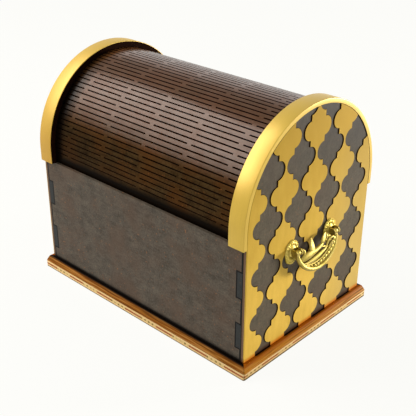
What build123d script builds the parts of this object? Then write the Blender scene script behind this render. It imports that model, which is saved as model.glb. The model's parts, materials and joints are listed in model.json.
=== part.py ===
from build123d import *
import os
from math import asin, ceil, cos, pi, radians, sin

# A domed wooden keepsake box with a roll-top lid: the lid is one sheet of wood, slit into a lattice so that
# it bends, and it runs round the box's long axis in grooves at both ends. All sizes are in millimetres.
# X runs along the box, the front panel faces -Y, and Z = 0 is the underside of the base board.

# Overall sizes
box_length = 200.0
box_depth = 130.0
wall_height = 84.0
arch_rise = 9.8
base_thickness = 9.5

# Base board round the walls
base_ledge = 2.2
base_bevel_width = 2.4
base_bevel_height = 3.8
base_corner_radius = 1.5

# Sheet thicknesses
wall_thickness = 4.0
end_thickness = 5.0
face_thickness = 1.9
fret_thickness = 0.6

# Arched hoop that caps each end of the lid
hoop_overhang = 3.0
arch_chords = 36

# Lattice lid and the groove that it runs in
lid_inset = 1.8
lid_thickness = 3.0
track_width = 5.2
track_clearance = 0.3
lid_half_angle = 102.0
lid_travel = 100.0
slit_row_angle = 3.37
slit_rows_each_side = 27
slit_width = 0.8
bridge_pitch = 73.4
bridge_width = 4.8

# Stiffening rails glued inside the lid's two long edges
rail_depth = 7.2
rail_angle = 7.6

# Tilt-lock pins and the dowels that stop the lid
pin_radius = 1.8
pin_length = 8.6
pin_travel = 6.0
pin_pocket_depth = 4.0
running_clearance = 0.08
dowel_radius = 1.5
dowel_reach = 4.3
dowel_seat = 3.0
rod_sides = 8

# Storage tray between the hub discs
tray_thickness = 3.0
tray_clearance = 1.0
tray_corner_angle = 41.4
tray_wall_height = 27.0
tray_tab_width = 12.0
tray_tab_length = 3.0

# Finger joints at the corners of the walls
finger_width = 19.1
finger_rise = 9.7
joint_gap = 0.12

# Arabesque fret on the two ends
fret_column_pitch = 30.5
fret_row_pitch = 33.6
fret_neck = 2.5
fret_lobe_chords = 4

# Drop handle on each end
handle_drop = 27.8
handle_spacing = 41.0
rosette_height = 15.2
rosette_width = 13.0
rosette_valley = 0.85
rosette_petals = 10
rosette_thickness = 1.6
rosette_boss_radius = 4.4
rosette_boss_height = 0.9
post_radius = 1.4
post_embed = 6.0
fork_standoff = 5.0
fork_gap = 3.6
fork_cheek = 1.2
fork_radius = 2.3
hinge_pin_radius = 0.8
hinge_clearance = 0.06
eye_radius = 2.1
eye_side_clearance = 0.3
bail_lean = 12.0
bail_half_width = 22.7
bail_depth = 19.2
bail_thickness = 3.0
bail_chords = 20
bow_chords = 6
bail_edge_bevel = 0.7
bail_shoulder = 2.7
horn_half_width = 16.2
horn_rise = 0.2
crescent_dip = 3.0
crescent_height = 4.8
grip_slot_height = 2.2
grip_slot_half_width = 15.5
grip_slot_flare = 1.1
leaf_height = 7.0
leaf_width = 4.0
leaf_thickness = 1.8
leaf_lean = 33.0
leaf_root = 0.8

# Places that follow from the sizes above
half_length = box_length / 2
half_depth = box_depth / 2
base_top = base_thickness
wall_top = base_top + wall_height
axis_height = wall_top + arch_rise
wall_inner = half_depth - wall_thickness
face_outer = half_length - fret_thickness
end_outer = face_outer - face_thickness
end_inner = end_outer - end_thickness
track_inner = end_inner - track_width
hoop_radius = half_depth + hoop_overhang
lid_radius = half_depth - lid_inset
lid_inner_radius = lid_radius - lid_thickness
track_outer_radius = lid_radius + track_clearance
hub_radius = lid_inner_radius - track_clearance
lid_half_length = end_inner - track_clearance
rail_inner_radius = lid_inner_radius - rail_depth
rail_mid_radius = lid_inner_radius - rail_depth / 2
rail_half_length = track_inner - track_clearance
tray_radius = rail_inner_radius - tray_clearance
lead_angle = 90 - lid_half_angle
tail_angle = 90 + lid_half_angle
pin_angle = lead_angle + rail_angle / 2
bore_radius = pin_radius + running_clearance
pivot_x = half_length + fork_standoff
pivot_z = axis_height - handle_drop
pivot_y = handle_spacing / 2


def block(x_range, y_range, z_range):
    centre = [(low + high) / 2 for low, high in (x_range, y_range, z_range)]
    size = [high - low for low, high in (x_range, y_range, z_range)]
    return Pos(*centre) * Box(*size)


# A flat outline drawn across the box, in Y and Z, given a thickness along X.
def slab(outline, x_start, x_end):
    return extrude(Plane.YZ.offset(x_start) * outline, x_end - x_start)


# An angle of 0 is the front of the lid's circle, 90 its top and 180 its back.
def on_circle(radius, angle):
    return -radius * cos(radians(angle)), axis_height + radius * sin(radians(angle))


def rod_along_x(radius, y, z, x_start, x_end):
    return slab(Pos(y, z) * Circle(radius), x_start, x_end)


# Small rods, and the holes that they fit, have flat sides at the given distance from their middle.
def small_round(radius):
    return Rot(0, 0, 180 / rod_sides) * RegularPolygon(radius, rod_sides, major_radius=False)


def small_rod(radius, y, z, x_start, x_end):
    return slab(Pos(y, z) * small_round(radius), x_start, x_end)


# Straight legs from the given height up to the lid's axis, and a half circle of short chords above.
def arch(radius, bottom):
    crown = [on_circle(radius, 180 * step / arch_chords) for step in range(arch_chords + 1)]
    return make_face(Polyline((-radius, bottom), *crown, (radius, bottom), close=True))


# Part of a ring about the lid's axis, between two angles.
def ring_sector(inner, outer, start, end):
    middle = (start + end) / 2
    outer_arc = ThreePointArc(on_circle(outer, start), on_circle(outer, middle), on_circle(outer, end))
    inner_arc = ThreePointArc(on_circle(inner, end), on_circle(inner, middle), on_circle(inner, start))
    first_side = Line(on_circle(outer, end), on_circle(inner, end))
    second_side = Line(on_circle(inner, start), on_circle(outer, start))
    return make_face(outer_arc + first_side + inner_arc + second_side)


def other_end(shape):
    return mirror(shape, about=Plane.YZ)


def both_ends(shape):
    return Compound([*shape.solids(), *other_end(shape).solids()])


# Heights at which the end panels' tabs pass through the front and back panels.
def finger_heights():
    usable = wall_height - finger_rise - finger_width
    count = int(usable // (2 * finger_width)) + 1
    starts = [base_top + finger_rise + 2 * finger_width * index for index in range(count)]
    return [(start, start + finger_width) for start in starts]


def base_board():
    margin = base_ledge + base_bevel_width
    foot_height = base_thickness - base_bevel_height
    foot_outline = RectangleRounded(box_length + 2 * margin, box_depth + 2 * margin, base_corner_radius)
    top_outline = RectangleRounded(box_length + 2 * base_ledge, box_depth + 2 * base_ledge, base_corner_radius)
    foot = extrude(foot_outline, foot_height)
    bevel = loft([Pos(0, 0, foot_height) * foot_outline, Pos(0, 0, base_thickness) * top_outline], ruled=True)
    return foot + bevel


# The wall's inner top edge is hollowed to let the lid's circle past.
def front_panel():
    panel = block((-end_outer, end_outer), (-half_depth, -wall_inner), (base_top, wall_top))
    for low, high in finger_heights():
        for side in (-1, 1):
            notch_x = sorted((side * (end_inner - joint_gap), side * half_length))
            notch_z = (low - joint_gap, high + joint_gap)
            panel -= block(notch_x, (-half_depth, -wall_inner), notch_z)
    cove = rod_along_x(track_outer_radius, 0, axis_height, -end_inner, end_inner)
    return panel - cove


def end_panel():
    body = block((end_inner, end_outer), (-wall_inner, wall_inner), (base_top, wall_top))
    body += slab(arch(half_depth - joint_gap, wall_top), end_inner, end_outer)
    for low, high in finger_heights():
        body += block((end_inner, end_outer), (-half_depth, half_depth), (low, high))
    pin_y, pin_z = on_circle(rail_mid_radius, pin_angle)
    body -= small_rod(bore_radius, pin_y, pin_z, end_inner, end_inner + pin_pocket_depth)
    return body - post_holes()


def post_holes():
    hole = small_round(post_radius + joint_gap)
    outline = Pos(-pivot_y, pivot_z) * hole + Pos(pivot_y, pivot_z) * hole
    return slab(outline, half_length - post_embed - joint_gap, half_length)


def face_panel():
    return slab(arch(half_depth - joint_gap, base_top), end_outer, face_outer) - post_holes()


# One edge of a fret column: half-round lobes that swell and shrink by turns, joined by short upright steps.
def fret_edge(side, column_centre):
    quarter = fret_column_pitch / 4
    lobe_radius = quarter - fret_neck / 2
    lobes = ceil((axis_height + half_depth) / fret_row_pitch) * 2
    points = []
    for lobe in range(-lobes, lobes + 1):
        lobe_height = axis_height + lobe * fret_row_pitch / 2
        swell = lobe_radius if lobe % 2 else -lobe_radius
        for step in range(fret_lobe_chords + 1):
            turn = pi * (step / fret_lobe_chords - 0.5)
            half_width = quarter + swell * cos(turn)
            points.append((column_centre + side * half_width, lobe_height + lobe_radius * sin(turn)))
    return points


# The outermost column on each side has no lobes along the rim of the end, and fills up to it.
def plain_edge(side, lobed_edge):
    return [(side * half_depth, lobed_edge[0][1]), (side * half_depth, lobed_edge[-1][1])]


def gold_fret():
    window = arch(half_depth - joint_gap, base_top)
    reach = int((half_depth + fret_column_pitch / 2 - fret_neck / 2) // fret_column_pitch)
    columns = []
    for index in range(-reach, reach + 1):
        centre = index * fret_column_pitch
        back_edge = fret_edge(1, centre)
        front_edge = fret_edge(-1, centre)
        if index == reach:
            back_edge = plain_edge(1, front_edge)
        if index == -reach:
            front_edge = plain_edge(-1, back_edge)
        outline = back_edge + front_edge[::-1]
        columns.append(make_face(Polyline(*outline, close=True)) & window)
    fret = Compound([solid for column in columns for solid in slab(column, face_outer, half_length).solids()])
    return Compound((fret - post_holes()).solids())


def arch_hoop():
    hoop = slab(arch(hoop_radius, wall_top), track_inner, half_length)
    hoop -= slab(arch(half_depth, wall_top), end_inner, half_length)
    return hoop - slab(arch(track_outer_radius, wall_top), track_inner, end_inner)


# Round guide inside the lid, glued to the end panel. It carries the tray, a lock pin and the stop dowels.
def hub_disc():
    disc = rod_along_x(hub_radius, 0, axis_height, track_inner, end_inner)
    pin_y, pin_z = on_circle(rail_mid_radius, pin_angle)
    disc -= small_rod(bore_radius, pin_y, pin_z, track_inner, end_inner)
    for angle in (closed_stop_angle(), open_stop_angle()):
        dowel_y, dowel_z = on_circle(rail_mid_radius, angle)
        hole_end = track_inner + dowel_seat + joint_gap
        disc -= small_rod(dowel_radius + joint_gap, dowel_y, dowel_z, track_inner, hole_end)
    for low_y, high_y, low_z, high_z in tray_tabs():
        mortise_y = (low_y - joint_gap, high_y + joint_gap)
        mortise_z = (low_z - joint_gap, high_z + joint_gap)
        disc -= block((track_inner, track_inner + tray_tab_length + joint_gap), mortise_y, mortise_z)
    return disc


# Corner plate under the hub disc. Its hollow edge is the outer side of the groove.
def track_cradle():
    plate = block((track_inner, end_inner), (-wall_inner, wall_inner), (base_top, wall_top))
    return plate - rod_along_x(track_outer_radius, 0, axis_height, track_inner, end_inner)


def lattice_angles():
    return [90 + row * slit_row_angle for row in range(-slit_rows_each_side, slit_rows_each_side + 1)]


# Angle between the folds in the plain margin at each long edge of the lid.
def margin_step():
    margin = lid_half_angle - (slit_rows_each_side + 0.5) * slit_row_angle
    return margin / ceil(margin / (2 * slit_row_angle))


# Flat strips, each wide enough for two rows of slits, with a fold between one strip and the next.
def lid_sheet():
    rows = lattice_angles()
    lattice_folds = [angle - slit_row_angle / 2 for angle in rows[::2]] + [rows[-1] + slit_row_angle / 2]
    margin_folds = round((lattice_folds[0] - lead_angle) / margin_step())
    lead_folds = [lead_angle + step * margin_step() for step in range(margin_folds)]
    tail_folds = [180 - angle for angle in reversed(lead_folds)]
    angles = lead_folds + lattice_folds + tail_folds
    outline = [on_circle(lid_radius, angle) for angle in angles]
    outline += [on_circle(lid_inner_radius, angle) for angle in reversed(angles)]
    sheet = slab(make_face(Polyline(*outline, close=True)), -lid_half_length, lid_half_length)
    return sheet - [slit for row, angle in enumerate(rows) for slit in slit_row(row, angle)]


# Slits of one row run from bridge to bridge and out through both ends. Alternate rows shift by half a bridge pitch.
def slit_row(row, angle):
    shift = bridge_pitch / 2 if row % 2 else 0
    reach = ceil(lid_half_length / bridge_pitch)
    bridges = [index * bridge_pitch + shift for index in range(-reach - 1, reach + 1)]
    place = Pos(0, 0, axis_height) * Rot(90 - angle, 0, 0) * Pos(0, 0, lid_radius - lid_thickness / 2)
    slits = []
    for left, right in zip(bridges, bridges[1:]):
        start = max(left + bridge_width / 2, -lid_half_length - slit_width)
        end = min(right - bridge_width / 2, lid_half_length + slit_width)
        if end > start:
            slits.append(place * Pos((start + end) / 2, 0, 0) * Box(end - start, slit_width, 2 * lid_thickness))
    return slits


def lid_rail(start, end):
    seat_radius = lid_inner_radius * cos(radians(margin_step() / 2)) - joint_gap / 2
    return slab(ring_sector(rail_inner_radius, seat_radius, start, end), -rail_half_length, rail_half_length)


# The lead rail has a socket in each end for a lock pin.
def lid_lead_rail():
    rail = lid_rail(lead_angle, lead_angle + rail_angle)
    pin_y, pin_z = on_circle(rail_mid_radius, pin_angle)
    for side in (-1, 1):
        socket = sorted((side * rail_half_length, side * (rail_half_length - pin_travel)))
        rail -= small_rod(bore_radius, pin_y, pin_z, *socket)
    return rail


def lid_tail_rail():
    return lid_rail(tail_angle - rail_angle, tail_angle)


# A dowel stands clear of the rail that stops on it by the track clearance.
def stop_offset():
    return (dowel_radius + track_clearance) / rail_mid_radius * 180 / pi


def closed_stop_angle():
    return lead_angle - stop_offset()


def open_stop_angle():
    return tail_angle + lid_travel + stop_offset()


def stop_dowels(angle):
    y, z = on_circle(rail_mid_radius, angle)
    return both_ends(small_rod(dowel_radius, y, z, track_inner - dowel_reach, track_inner + dowel_seat))


def lock_pin():
    y, z = on_circle(rail_mid_radius, pin_angle)
    pocket_end = end_inner + pin_pocket_depth - running_clearance
    return small_rod(pin_radius, y, z, pocket_end - pin_length, pocket_end)


# The tray's lower corners stay inside the circle that the lid's rails sweep.
def tray_levels():
    half_width = tray_radius * cos(radians(tray_corner_angle))
    underside = axis_height - tray_radius * sin(radians(tray_corner_angle))
    return half_width, underside, underside + tray_thickness


def tray_tabs():
    half_width, underside, floor_top = tray_levels()
    floor_tab_y = half_width / 2
    wall_middle = floor_top + tray_wall_height / 2
    tabs = []
    for side in (-1, 1):
        centre = side * floor_tab_y
        tabs.append((centre - tray_tab_width / 2, centre + tray_tab_width / 2, underside, floor_top))
    for side in (-1, 1):
        low_y, high_y = sorted((side * half_width, side * (half_width - tray_thickness)))
        tabs.append((low_y, high_y, wall_middle - tray_tab_width / 2, wall_middle + tray_tab_width / 2))
    return tabs


def tab_solids(tabs):
    reach = track_inner + tray_tab_length
    return [block((-reach, reach), (tab[0], tab[1]), (tab[2], tab[3])) for tab in tabs]


def tray_floor():
    half_width, underside, floor_top = tray_levels()
    floor = block((-track_inner, track_inner), (-half_width, half_width), (underside, floor_top))
    return floor + tab_solids(tray_tabs()[:2])


def tray_wall(tab):
    half_width, underside, floor_top = tray_levels()
    wall = block((-track_inner, track_inner), (tab[0], tab[1]), (floor_top, floor_top + tray_wall_height))
    return wall + tab_solids([tab])


# Petal-edged oval plate with a raised boss, held to the end by the post through its middle.
def rosettes():
    petal_turn = 2 * pi / rosette_petals
    outline = []
    for petal in range(rosette_petals):
        for turn, reach in ((0, rosette_valley), (0.3, 1), (0.7, 1)):
            angle = (petal + turn) * petal_turn
            outline.append((reach * rosette_width / 2 * cos(angle), reach * rosette_height / 2 * sin(angle)))
    petals = make_face(Polyline(*outline, close=True))
    boss = RegularPolygon(rosette_boss_radius, rosette_petals)
    hole = small_round(post_radius + joint_gap)
    plate_top = half_length + rosette_thickness
    solids = []
    for side in (-1, 1):
        place = Pos(side * pivot_y, pivot_z)
        plate = slab(place * petals, half_length, plate_top)
        plate += slab(place * boss, plate_top, plate_top + rosette_boss_height)
        solids += (plate - slab(place * hole, half_length, pivot_x)).solids()
    return Compound(solids)


# An outline drawn round the handle's pivot, given a width across the box.
def round_pivot(outline, y_range):
    start = Plane((pivot_x, y_range[0], pivot_z), x_dir=(1, 0, 0), z_dir=(0, 1, 0))
    return extrude(start * outline, y_range[1] - y_range[0])


# Shank into the end, and a fork that carries the handle's hinge pin.
def handle_posts():
    seat = half_length + rosette_thickness + rosette_boss_height
    cheek_outer = fork_gap / 2 + fork_cheek
    solids = []
    for side in (-1, 1):
        shank = small_rod(post_radius, side * pivot_y, pivot_z, half_length - post_embed, seat)
        y_range = (side * pivot_y - cheek_outer, side * pivot_y + cheek_outer)
        gap_range = (side * pivot_y - fork_gap / 2, side * pivot_y + fork_gap / 2)
        fork = block((seat, pivot_x), y_range, (pivot_z - fork_radius, pivot_z + fork_radius))
        fork += round_pivot(small_round(fork_radius), y_range)
        gap_start = pivot_x - eye_radius - eye_side_clearance
        gap_end = pivot_x + fork_radius + joint_gap
        gap_height = fork_radius + joint_gap
        fork -= block((gap_start, gap_end), gap_range, (pivot_z - gap_height, pivot_z + gap_height))
        fork -= round_pivot(small_round(hinge_pin_radius), y_range)
        solids += (shank + fork).solids()
    return Compound(solids)


def hinge_pins():
    reach = fork_gap / 2 + fork_cheek
    solids = []
    for side in (-1, 1):
        y_range = (side * pivot_y - reach, side * pivot_y + reach)
        solids += round_pivot(Circle(hinge_pin_radius), y_range).solids()
    return Compound(solids)


# A plane along Y through a point of the handle, whose upper side leans towards the box by the given angle.
def leaning_plane(x, z, lean):
    return Plane((x, 0, z), x_dir=(0, 1, 0), z_dir=(cos(radians(lean)), 0, sin(radians(lean))))


# Cast bail that hangs clear of the end: a deep grip under half an ellipse, and a crescent with two horns and a
# leaf above it, parted by a slot that flares towards the arms.
def bail():
    plate = extrude(bail_outline() - grip_slot(), bail_thickness / 2, both=True)
    sides = plate.faces().sort_by(Axis.Z)
    plate = chamfer(sides[0].outer_wire().edges() + sides[-1].outer_wire().edges(), bail_edge_bevel)
    eye_half = fork_gap / 2 - eye_side_clearance
    for side in (-1, 1):
        neck = Pos(side * pivot_y, -bail_shoulder / 2) * Rectangle(2 * eye_half, bail_shoulder + bail_thickness)
        plate += extrude(neck, bail_thickness / 2, both=True)
    shape = leaning_plane(pivot_x, pivot_z, bail_lean) * plate + leaf()
    for side in (-1, 1):
        y_range = (side * pivot_y - eye_half, side * pivot_y + eye_half)
        shape += round_pivot(small_round(eye_radius), y_range)
        fork_range = (side * pivot_y - fork_gap / 2, side * pivot_y + fork_gap / 2)
        shape -= round_pivot(small_round(hinge_pin_radius + hinge_clearance), fork_range)
    return shape


def bail_outline():
    start_turn = asin(bail_shoulder / bail_depth)
    inner = pivot_y - fork_gap / 2 - fork_cheek - eye_side_clearance
    rim = []
    for step in range(bail_chords + 1):
        turn = pi + start_turn + (pi - 2 * start_turn) * step / bail_chords
        rim.append((bail_half_width * cos(turn), bail_depth * sin(turn)))
    top = bowed_edge(horn_half_width, -crescent_dip, horn_rise)
    return make_face(Polyline((-inner, -bail_shoulder), *rim, (inner, -bail_shoulder), *top[::-1], close=True))


# Points from left to right along a parabola with the given heights at its middle and its ends.
def bowed_edge(half_width, middle, end):
    shares = [2 * step / bow_chords - 1 for step in range(bow_chords + 1)]
    return [(share * half_width, middle + (end - middle) * share ** 2) for share in shares]


def grip_slot():
    top = -crescent_dip - crescent_height
    bottom = top - grip_slot_height
    upper = bowed_edge(grip_slot_half_width, top, top + grip_slot_flare)
    lower = bowed_edge(grip_slot_half_width, bottom, bottom - grip_slot_flare)
    return make_face(Polyline(*upper, *lower[::-1], close=True))


# The leaf rises from the crescent's middle and leans back towards the end of the box.
def leaf():
    root = crescent_dip + leaf_root
    root_x = pivot_x + root * sin(radians(bail_lean))
    root_z = pivot_z - root * cos(radians(bail_lean))
    edge = []
    for step in range(bow_chords + 1):
        share = step / bow_chords
        edge.append((leaf_width / 2 * sin(pi * share ** 0.75), leaf_height * share))
    other_edge = [(-across, up) for across, up in edge[-2:0:-1]]
    outline = leaning_plane(root_x, root_z, leaf_lean) * make_face(Polyline(*edge, *other_edge, close=True))
    return extrude(outline, leaf_thickness / 2, both=True)


front = front_panel()
front_tab, back_tab = tray_tabs()[2:]
nodes = {
    "base_board": base_board(),
    "front_panel": front,
    "back_panel": mirror(front, about=Plane.XZ),
    "tray_floor": tray_floor(),
    "tray_front": tray_wall(front_tab),
    "tray_back": tray_wall(back_tab),
    "lid_sheet": lid_sheet(),
    "lid_lead_rail": lid_lead_rail(),
    "lid_tail_rail": lid_tail_rail(),
    "closed_stop_dowels": stop_dowels(closed_stop_angle()),
    "open_stop_dowels": stop_dowels(open_stop_angle()),
}
end_nodes = {
    "end_panel": end_panel(),
    "face_panel": face_panel(),
    "gold_fret": gold_fret(),
    "arch_hoop": arch_hoop(),
    "hub_disc": hub_disc(),
    "track_cradle": track_cradle(),
    "lock_pin": lock_pin(),
    "rosettes": rosettes(),
    "handle_posts": handle_posts(),
    "hinge_pins": hinge_pins(),
    "bail": bail(),
}
for name, shape in end_nodes.items():
    nodes["right_" + name] = shape
    nodes["left_" + name] = other_end(shape)

os.makedirs("parts", exist_ok=True)
for name, shape in nodes.items():
    export_step(shape, f"parts/{name}.step")
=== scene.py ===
import json
from math import cos, pi, radians, sin

import bmesh
import bpy
import numpy as np
from mathutils import Matrix, Vector


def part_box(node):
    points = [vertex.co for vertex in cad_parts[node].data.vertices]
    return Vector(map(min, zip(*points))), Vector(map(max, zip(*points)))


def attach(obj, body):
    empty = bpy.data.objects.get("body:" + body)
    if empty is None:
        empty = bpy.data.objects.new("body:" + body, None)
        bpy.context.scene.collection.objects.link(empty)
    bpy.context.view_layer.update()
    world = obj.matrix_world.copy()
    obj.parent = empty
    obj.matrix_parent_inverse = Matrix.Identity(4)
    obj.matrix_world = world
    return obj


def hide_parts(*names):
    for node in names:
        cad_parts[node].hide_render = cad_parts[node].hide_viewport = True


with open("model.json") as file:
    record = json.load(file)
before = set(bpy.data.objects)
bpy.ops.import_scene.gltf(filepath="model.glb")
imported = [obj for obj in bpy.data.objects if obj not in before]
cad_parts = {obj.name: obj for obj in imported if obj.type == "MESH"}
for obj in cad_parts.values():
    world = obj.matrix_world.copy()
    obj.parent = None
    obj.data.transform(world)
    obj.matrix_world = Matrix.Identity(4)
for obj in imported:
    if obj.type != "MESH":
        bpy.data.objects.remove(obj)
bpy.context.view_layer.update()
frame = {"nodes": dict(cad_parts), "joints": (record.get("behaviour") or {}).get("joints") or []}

mm = 0.001
sides = {"right_": 1.0, "left_": -1.0}

# places read from the frame, in millimetres
joints = {joint["name"]: joint for joint in frame["joints"]}
axisZ = joints["lid_roll"]["pos_m"][2] / mm  # the lid rolls about a line along X at this height
pivotX, pivotZ = joints["right_bail_swing"]["pos_m"][0] / mm, joints["right_bail_swing"]["pos_m"][2] / mm
hoopLow, hoopHigh = np.array(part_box("right_arch_hoop")) / mm
fretLow, fretHigh = np.array(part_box("right_gold_fret")) / mm
endLow, endHigh = np.array(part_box("right_end_panel")) / mm
faceHigh = np.array(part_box("right_face_panel"))[1] / mm
baseHigh = np.array(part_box("base_board"))[1] / mm
frontHigh = np.array(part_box("front_panel"))[1] / mm


# one socket, with arithmetic that adds Math nodes
class Wire:
    def __init__(self, tree, socket):
        self.tree = tree
        self.socket = socket

    def maths(self, operation, *values):
        return addNode(self.tree, "ShaderNodeMath", {"operation": operation}, dict(enumerate(values)))

    def __add__(self, other):
        return self.maths("ADD", self, other)

    def __radd__(self, other):
        return self.maths("ADD", other, self)

    def __sub__(self, other):
        return self.maths("SUBTRACT", self, other)

    def __rsub__(self, other):
        return self.maths("SUBTRACT", other, self)

    def __mul__(self, other):
        return self.maths("MULTIPLY", self, other)

    def __rmul__(self, other):
        return self.maths("MULTIPLY", other, self)

    def __truediv__(self, other):
        return self.maths("DIVIDE", self, other)

    def __abs__(self):
        return self.maths("ABSOLUTE", self)

    def above(self, other):
        return self.maths("GREATER_THAN", self, other)

    def most(self, other):
        return self.maths("MAXIMUM", self, other)

    # the part after the decimal point
    def fraction(self):
        return self.maths("FRACT", self)

    # climbs from 0 to the span and falls back to 0, over and over
    def bounce(self, span):
        return self.maths("PINGPONG", self, span)

    # degrees from the way across up to a point at this height
    def angle(self, across):
        return self.maths("ARCTAN2", self, across) * (180.0 / pi)

    # 0 below low, 1 above high, straight between
    def ramp(self, low, high):
        ends = {"Value": self, "From Min": low, "From Max": high}
        return addNode(self.tree, "ShaderNodeMapRange", {"clamp": True}, ends)

    # 1 between low and high, with soft ends
    def within(self, low, high, soft):
        return self.ramp(low - soft, low) * (1.0 - self.ramp(high, high + soft))


# a node with its settings made first, then its sockets filled with values or links
def addNode(tree, kind, settings=None, sockets=None, output=0):
    node = tree.nodes.new(kind)
    for key, value in (settings or {}).items():
        setattr(node, key, value)
    for key, value in (sockets or {}).items():
        if isinstance(value, Wire):
            tree.links.new(value.socket, node.inputs[key])
        else:
            node.inputs[key].default_value = value
    return Wire(tree, node.outputs[output])


# a material whose place is read in millimetres
class Finish:
    def __init__(self, name):
        self.material = bpy.data.materials.new(name)
        self.material.use_nodes = True
        self.tree = self.material.node_tree
        self.shader = self.tree.nodes["Principled BSDF"]
        objectPlace = addNode(self.tree, "ShaderNodeTexCoord", output="Object")
        metres = {0: objectPlace, "Scale": 1.0 / mm}
        self.place = self.add("ShaderNodeVectorMath", {"operation": "SCALE"}, metres)
        split = self.add("ShaderNodeSeparateXYZ", {}, {0: self.place})
        self.x, self.y, self.z = [Wire(self.tree, socket) for socket in split.socket.node.outputs]

    def add(self, kind, settings=None, sockets=None, output=0):
        return addNode(self.tree, kind, settings, sockets, output)

    # noise with features of about the given size in millimetres, or of three sizes along X, Y and Z
    def noise(self, sizes, detail, rough=0.55, shift=(0, 0, 0), place=None):
        scale = [1.0 / size for size in np.broadcast_to(sizes, 3).tolist()]
        stretch = {"Vector": place or self.place, "Scale": scale, "Location": shift}
        where = self.add("ShaderNodeMapping", {}, stretch)
        sockets = {"Vector": where, "Scale": 1.0, "Detail": detail, "Roughness": rough}
        return self.add("ShaderNodeTexNoise", {}, sockets)

    # the first colour where the factor is 0, the second where it is 1
    def mix(self, factor, first, second):
        fill = [value if isinstance(value, Wire) else (*value, 1.0) for value in (first, second)]
        return self.add("ShaderNodeMix", {"data_type": "RGBA"}, {"Factor": factor, 6: fill[0], 7: fill[1]}, 2)

    # colours laid one over another, each by its own mask
    def layered(self, colour, coats):
        for mask, coat in coats:
            colour = self.mix(mask, colour, coat)
        return colour

    # relief from a height, with its distance in millimetres
    def bump(self, height, strength, distance):
        sockets = {"Height": height, "Strength": strength, "Distance": distance * mm}
        return self.add("ShaderNodeBump", {}, sockets)

    # values or links for the shader's inputs, whose spaces are written as underscores
    def wire(self, **inputs):
        for key, value in inputs.items():
            socket = self.shader.inputs[key.replace("_", " ")]
            if isinstance(value, Wire):
                self.tree.links.new(value.socket, socket)
            else:
                socket.default_value = value
        return self.material


# stained board: a soft mottle, fibres along the board, red stain in patches and a few warm flecks, under
# any of three masks: an edge that is rubbed or bare (on the lid a painted warm sheen), a darkening that is
# burnt wood (with painted shade at the panels' foot) on the panels and ends and painted shade on the lid and
# the face, and a foot reddened and darkened with painted shade
def stainedBoard(name, look, darkening=None, coat=None, edge=None, foot=None):
    finish = Finish(name)
    mottle = finish.noise(7, 4.0)
    patch = finish.noise(19, 3.0, 0.5, (9, 2, 4)).ramp(0.42, 0.68)
    fibres = finish.noise(look["fibre"], 4.0, 0.65)
    grit = finish.noise(1.3, 2.0)
    flecks = finish.noise(1.9, 1.0, 0.5, (3, 5, 7)).ramp(0.68, 0.76)
    tone = (mottle * 0.32 + fibres * 0.3 + grit * 0.38).ramp(0.36, 0.64)
    coats = [(patch * look["redness"], look["red"]), (flecks * look["flecks"], look["fleck"])]
    masks = {"edge": edge, "darkening": darkening, "foot": foot}
    coats += [(mask(finish), look[part]) for part, mask in masks.items() if mask]
    colour = finish.layered(finish.mix(tone, look["deep"], look["pale"]), coats)
    finish.wire(Base_Color=colour, Specular_IOR_Level=look["shine"])
    finish.wire(Roughness=look["rough"] + (mottle - 0.5) * 0.2 + (fibres - 0.5) * 0.15)
    if coat:
        weight = coat(finish) * (0.8 + (mottle - 0.5) * 0.6)
        finish.wire(Coat_Weight=weight, Coat_Roughness=look["coatRough"], Coat_IOR=1.5)
    return finish.wire(Normal=finish.bump(fibres + mottle * 0.5 + grit * 0.4, look["relief"], 0.2))


# the panels' darkening colour serves their burnt lines and the painted shade at their foot
panelLook = {"deep": (0.042, 0.033, 0.023), "pale": (0.144, 0.121, 0.092), "red": (0.115, 0.068, 0.042),
             "redness": 0.5, "fleck": (0.34, 0.14, 0.05), "flecks": 0.5, "darkening": (0.003, 0.002, 0.001),
             "fibre": (9, 2.0, 2.6), "rough": 0.5, "shine": 0.15, "relief": 0.25}
# on the face layer the darkening colour is painted shade under the arch, and the foot colour is painted shade
# at the foot
faceLook = dict(panelLook, fibre=(2, 2.2, 9), deep=(0.064, 0.051, 0.03), pale=(0.126, 0.101, 0.063),
                red=(0.1, 0.067, 0.042), edge=(0.17, 0.1, 0.06), flecks=0.25, foot=(0.05, 0.013, 0.002))
tabLook = dict(panelLook, fibre=(2, 2.2, 9), deep=(0.02, 0.022, 0.022), pale=(0.038, 0.041, 0.04),
               redness=0.0, flecks=0.1)
# on the lid the darkening colour is painted shade, and the edge colour is a painted warm sheen on the crown
lidLook = {"deep": (0.02, 0.0095, 0.0022), "pale": (0.076, 0.045, 0.016), "red": (0.085, 0.03, 0.005),
           "redness": 0.6, "fleck": (0.2, 0.07, 0.02), "flecks": 0.6, "darkening": (0.002, 0.001, 0.0004),
           "edge": (0.15, 0.052, 0.014), "fibre": (24, 1.4, 1.4), "rough": 0.42, "shine": 0.015,
           "relief": 0.3, "coatRough": 0.2}
innerLook = dict(lidLook, deep=(0.045, 0.024, 0.012), pale=(0.095, 0.056, 0.03), fibre=(18, 2, 2),
                 rough=0.55, shine=0.2)
charLook = dict(lidLook, deep=(0.004, 0.0015, 0.0008), pale=(0.02, 0.006, 0.0025), redness=0.0,
                flecks=0.0, rough=0.85, shine=0.02)
outlineLook = dict(charLook, deep=(0.018, 0.007, 0.003), pale=(0.04, 0.016, 0.007))
beechLook = dict(innerLook, deep=(0.36, 0.22, 0.1), pale=(0.52, 0.35, 0.19), red=(0.4, 0.23, 0.1),
                 fleck=(0.3, 0.17, 0.07))

# finger joints: heights of the tabs, and the width of the scorched line beside each cut
fingers = {"heights": ((19.2, 38.3), (57.4, 76.5)), "line": 0.55}


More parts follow.
